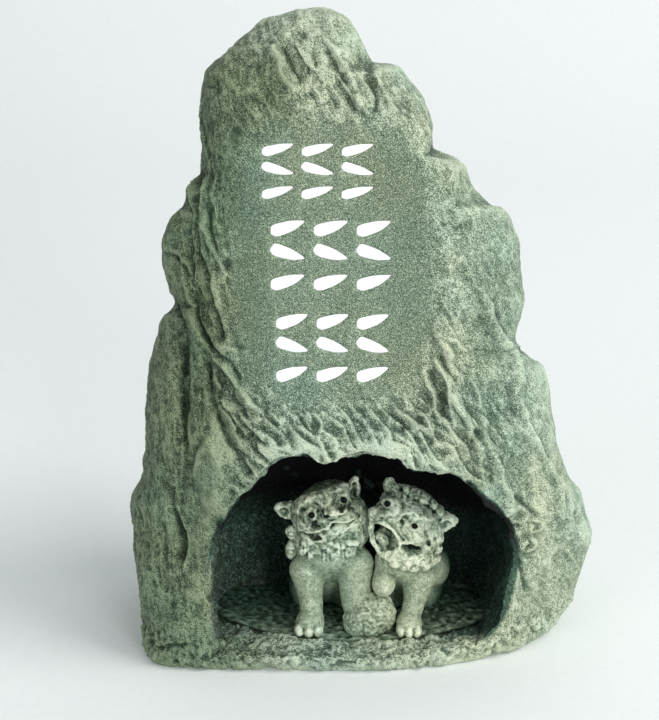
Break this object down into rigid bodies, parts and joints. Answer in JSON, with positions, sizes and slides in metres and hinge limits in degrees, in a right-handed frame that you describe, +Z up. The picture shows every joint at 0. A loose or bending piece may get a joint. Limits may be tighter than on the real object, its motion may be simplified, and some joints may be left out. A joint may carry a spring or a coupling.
{
  "type": "stone ornament with guardian lions",
  "caption": "Cast stone ornament: a standing rock with engraved strokes on a smooth panel and a cave at its foot holding a pair of seated guardian lions.",
  "frame": {"origin": "on the surface that the rock stands on, under the middle of its bounding box", "axes": "+Z up, the cave and the smooth panel face -Y, +X to the viewer's right"},
  "size_m": [0.128, 0.0781, 0.172],
  "materials": {
    "rock_stone": "grey-green cast stone with a fine pale and dark grain, paler on raised edges",
    "figure_stone": "olive cast stone, smoother than the rock, with a dark wash in its hollows",
    "white_paint": "matt white paint in the engraved strokes",
    "eye_black": "small glossy black pupils"
  },
  "bodies": {
    "root": {"rock": "rock_stone", "shisa_pair": "figure_stone"}
  },
  "joints": []
}
